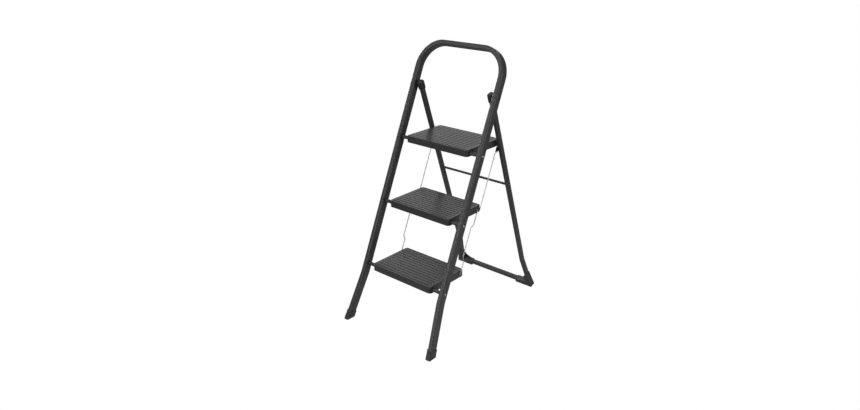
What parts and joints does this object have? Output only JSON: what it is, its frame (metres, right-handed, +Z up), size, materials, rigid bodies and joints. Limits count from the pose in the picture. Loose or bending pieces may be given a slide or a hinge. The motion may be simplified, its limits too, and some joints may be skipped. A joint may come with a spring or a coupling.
{
  "type": "folding three-step ladder",
  "caption": "Folding steel step ladder with three ribbed treads, a hoop handrail, splayed feet and a hinged rear frame, standing open.",
  "frame": {"origin": "on the floor at the middle of the open ladder's footprint", "axes": "+Z up, +X to the climber's right, +Y from the climbing side to the rear"},
  "size_m": [0.4704, 0.7567, 1.0942],
  "materials": {
    "powder_coat": "fine charcoal powder coat, satin",
    "tread_steel": "charcoal powder coat over pressed ribs, slightly lighter",
    "black_plastic": "moulded black polypropylene, fine texture",
    "zinc_steel": "bright zinc plate",
    "dark_steel": "black zinc, satin"
  },
  "bodies": {
    "front_assembly": {"front_frame": "powder_coat", "front_foot_left": "black_plastic", "pivot_bolt_left": "dark_steel", "pivot_nut_left": "dark_steel", "front_foot_right": "black_plastic", "pivot_bolt_right": "dark_steel", "pivot_nut_right": "dark_steel", "bottom_rivet_left": "zinc_steel", "bottom_rivet_right": "zinc_steel", "middle_rivet_left": "zinc_steel", "middle_rivet_right": "zinc_steel", "top_rivet_left": "zinc_steel", "top_rivet_right": "zinc_steel"},
    "rear_assembly": {"rear_crossbar": "powder_coat", "rear_base_bar": "powder_coat", "rear_leg_left": "powder_coat", "rear_elbow_left": "black_plastic", "rear_cap_left": "black_plastic", "pivot_spacer_left": "black_plastic", "support_stud_left": "zinc_steel", "rear_leg_right": "powder_coat", "rear_elbow_right": "black_plastic", "rear_cap_right": "black_plastic", "pivot_spacer_right": "black_plastic", "support_stud_right": "zinc_steel"},
    "bottom_step": {"bottom_tread": "tread_steel", "bottom_pivot_tube": "powder_coat", "bottom_stiffener": "powder_coat", "bottom_bush_left": "black_plastic", "bottom_bush_right": "black_plastic"},
    "middle_step": {"middle_tread": "tread_steel", "middle_pivot_tube": "powder_coat", "middle_stiffener": "powder_coat", "middle_bush_left": "black_plastic", "middle_bush_right": "black_plastic"},
    "top_step": {"top_tread": "tread_steel", "top_pivot_tube": "powder_coat", "top_stiffener": "powder_coat", "top_bush_left": "black_plastic", "top_bush_right": "black_plastic", "step_hook_left": "dark_steel", "step_hook_right": "dark_steel"},
    "upper_wire_left": {"upper_link_left": "zinc_steel", "upper_clip_top_left": "zinc_steel", "upper_clip_low_left": "zinc_steel"},
    "upper_wire_right": {"upper_link_right": "zinc_steel", "upper_clip_top_right": "zinc_steel", "upper_clip_low_right": "zinc_steel"},
    "lower_wire_left": {"lower_link_left": "zinc_steel", "lower_clip_top_left": "zinc_steel", "lower_clip_low_left": "zinc_steel"},
    "lower_wire_right": {"lower_link_right": "zinc_steel", "lower_clip_top_right": "zinc_steel", "lower_clip_low_right": "zinc_steel"}
  },
  "joints": [
    {"name": "top_step_fold", "type": "hinge", "parent": "front_assembly", "child": "top_step", "pos_m": [0, -0.0498, 0.717], "axis": [1, 0, 0], "range_deg": [0, 64.78]},
    {"name": "middle_step_fold", "type": "hinge", "parent": "front_assembly", "child": "middle_step", "pos_m": [0, -0.15542, 0.4708], "axis": [1, 0, 0], "range_deg": [0, 64.78]},
    {"name": "bottom_step_fold", "type": "hinge", "parent": "front_assembly", "child": "bottom_step", "pos_m": [0, -0.26062, 0.2256], "axis": [1, 0, 0], "range_deg": [0, 64.78]},
    {"name": "rear_frame_fold", "type": "hinge", "parent": "front_assembly", "child": "rear_assembly", "pos_m": [0, 0.04405, 0.917], "axis": [-1, 0, 0], "range_deg": [0, 39.5]},
    {"name": "upper_wire_left_swing", "type": "hinge", "parent": "top_step", "child": "upper_wire_left", "pos_m": [-0.158, 0.1167, 0.711], "axis": [-1, 0, 0], "range_deg": [0, 64.78]},
    {"name": "upper_wire_right_swing", "type": "hinge", "parent": "top_step", "child": "upper_wire_right", "pos_m": [0.158, 0.1167, 0.711], "axis": [-1, 0, 0], "range_deg": [0, 64.78]},
    {"name": "lower_wire_left_swing", "type": "hinge", "parent": "middle_step", "child": "lower_wire_left", "pos_m": [-0.158, 0.00058, 0.4738], "axis": [-1, 0, 0], "range_deg": [0, 64.78]},
    {"name": "lower_wire_right_swing", "type": "hinge", "parent": "middle_step", "child": "lower_wire_right", "pos_m": [0.158, 0.00058, 0.4738], "axis": [-1, 0, 0], "range_deg": [0, 64.78]}
  ],
  "couplings": [
    {"joint": "middle_step_fold", "follows": "top_step_fold", "ratio": 1},
    {"joint": "bottom_step_fold", "follows": "top_step_fold", "ratio": 1},
    {"joint": "rear_frame_fold", "follows": "top_step_fold", "ratio": 0.60975},
    {"joint": "upper_wire_left_swing", "follows": "top_step_fold", "ratio": 1},
    {"joint": "upper_wire_right_swing", "follows": "top_step_fold", "ratio": 1},
    {"joint": "lower_wire_left_swing", "follows": "top_step_fold", "ratio": 1},
    {"joint": "lower_wire_right_swing", "follows": "top_step_fold", "ratio": 1}
  ]
}
